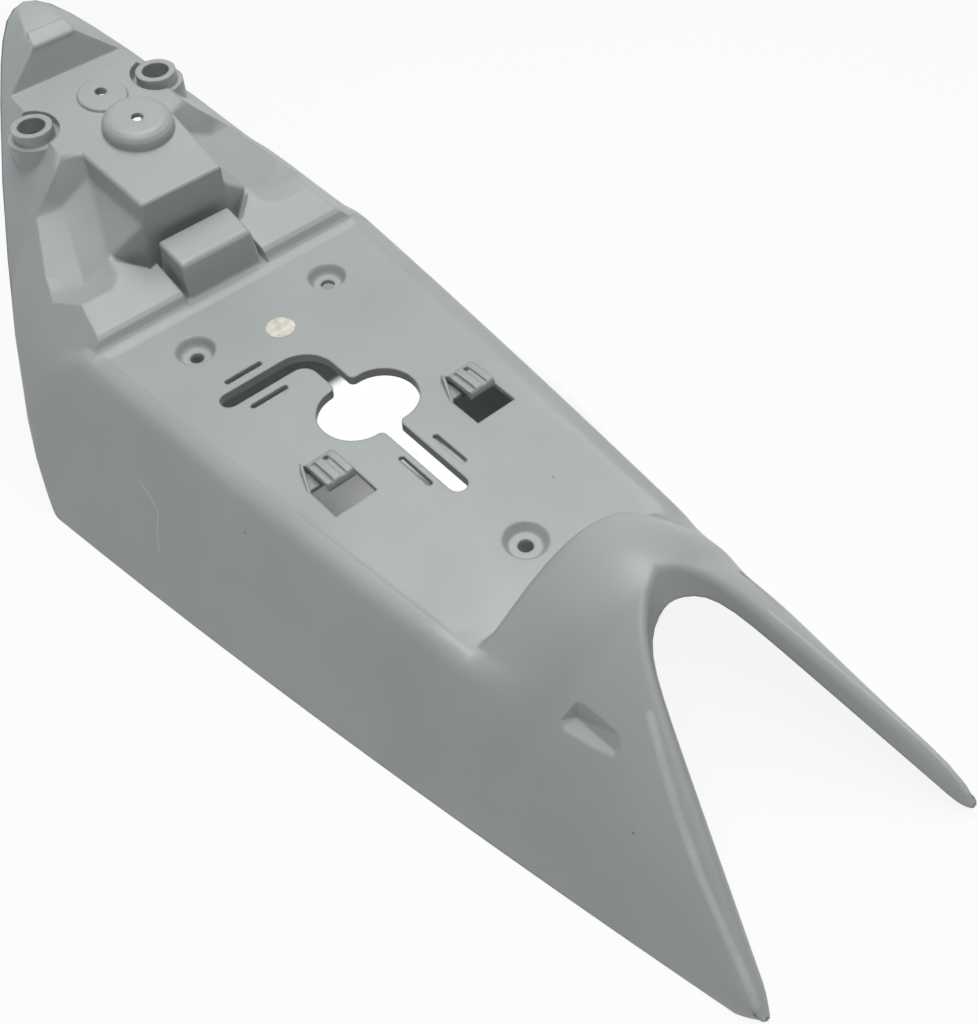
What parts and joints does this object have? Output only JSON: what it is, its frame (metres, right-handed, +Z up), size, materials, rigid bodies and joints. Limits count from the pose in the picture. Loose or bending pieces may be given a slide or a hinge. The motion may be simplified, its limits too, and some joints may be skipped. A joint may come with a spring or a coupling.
{
  "type": "motorcycle tail fairing cover",
  "caption": "Unpainted moulded tail cover with a flat bolted deck, keyhole opening, two spring hooks, a stepped tail with collars, and a forked front.",
  "frame": {"origin": "middle of the bounding box at the height of the lower edges that it rests on", "axes": "+Y towards the tail, +Z up, +X to the right-hand side seen from behind the forked front; the deck leans 5.8 degrees, rising towards the tail"},
  "size_m": [0.2496, 0.5658, 0.188],
  "materials": {
    "abs_grey": "semi-matt moulded ABS, unpainted light grey",
    "sticker": "cream film, slightly wrinkled"
  },
  "bodies": {
    "root": {"tail_cowl": "abs_grey", "label_dot": "sticker"}
  },
  "joints": []
}
